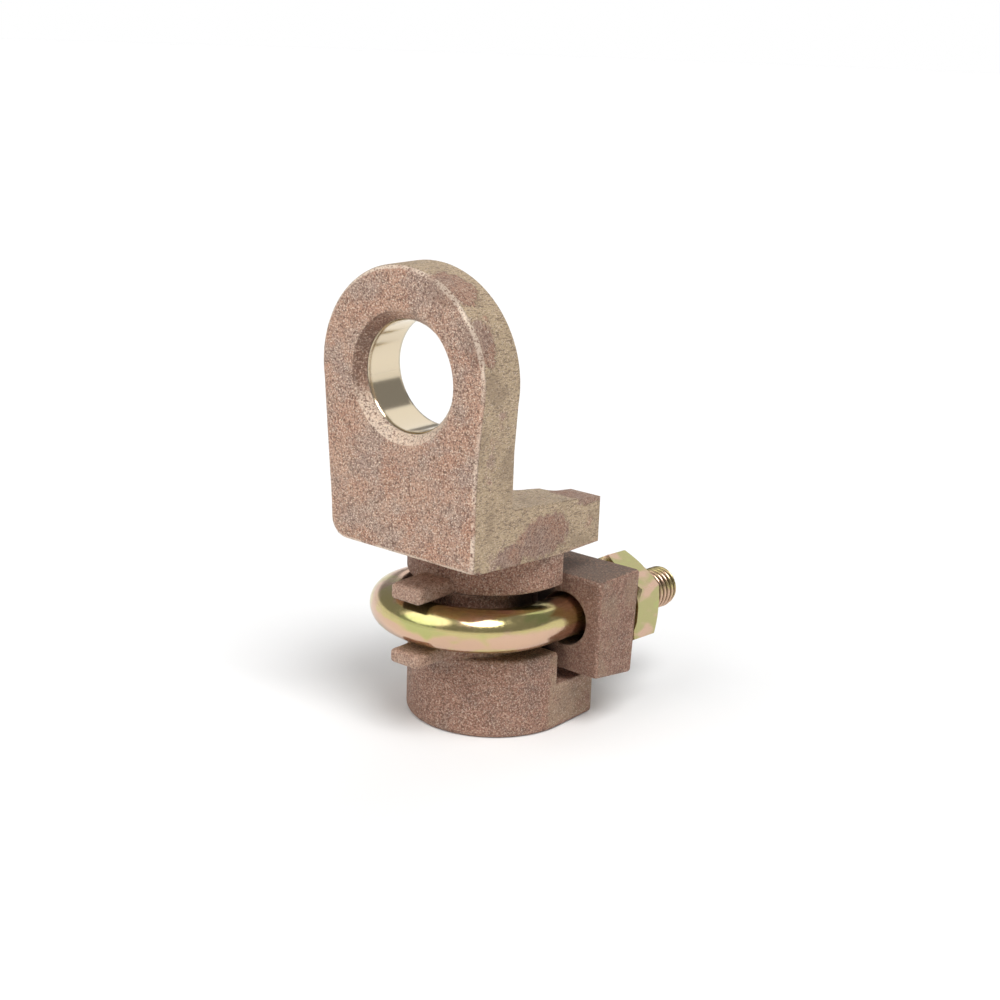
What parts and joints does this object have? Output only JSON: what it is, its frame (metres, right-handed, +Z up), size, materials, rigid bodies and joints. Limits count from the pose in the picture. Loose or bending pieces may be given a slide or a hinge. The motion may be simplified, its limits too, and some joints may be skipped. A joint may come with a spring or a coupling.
{
  "type": "earth rod clamp",
  "caption": "Earth rod clamp: cast lug with a cross bore over a rod barrel, gripped by a U-bolt, saddle and hexagon nuts.",
  "frame": {"origin": "arc axis of the rod barrel at the barrel's base face", "axes": "+Z up along the rod channel towards the lug's top, +Y from the lug's front face towards the open side of the rod channel, +X across the lug"},
  "size_m": [0.0562, 0.0742, 0.1049],
  "materials": {
    "cast_bronze": "as-cast",
    "yellow_zinc": "gloss"
  },
  "bodies": {
    "clamp_body": {"clamp_body": "cast_bronze"},
    "u_bolt": {"u_bolt": "yellow_zinc"},
    "saddle": {"saddle": "cast_bronze"},
    "nut_right": {"nut_right": "yellow_zinc"},
    "nut_left": {"nut_left": "yellow_zinc"}
  },
  "joints": [
    {"name": "bolt_tilt", "type": "hinge", "parent": "clamp_body", "child": "u_bolt", "pos_m": [0, -0.0258, 0.0274], "axis": [1, 0, 0], "range_deg": [0, 3.4]},
    {"name": "saddle_slide", "type": "slide", "parent": "u_bolt", "child": "saddle", "axis": [0, 0.9982, -0.0593], "range_m": [-0.0028, 0.009]},
    {"name": "nut_right_spin", "type": "hinge", "parent": "saddle", "child": "nut_right", "pos_m": [0.018, 0.02092, 0.02462], "axis": [0, 0.9982, -0.0593], "continuous": true},
    {"name": "nut_left_spin", "type": "hinge", "parent": "saddle", "child": "nut_left", "pos_m": [-0.018, 0.02092, 0.02462], "axis": [0, 0.9982, -0.0593], "continuous": true}
  ],
  "couplings": [
    {"joint": "nut_right_spin", "follows": "saddle_slide", "rad_per_m": 4188.8},
    {"joint": "nut_left_spin", "follows": "saddle_slide", "rad_per_m": 4188.8}
  ]
}
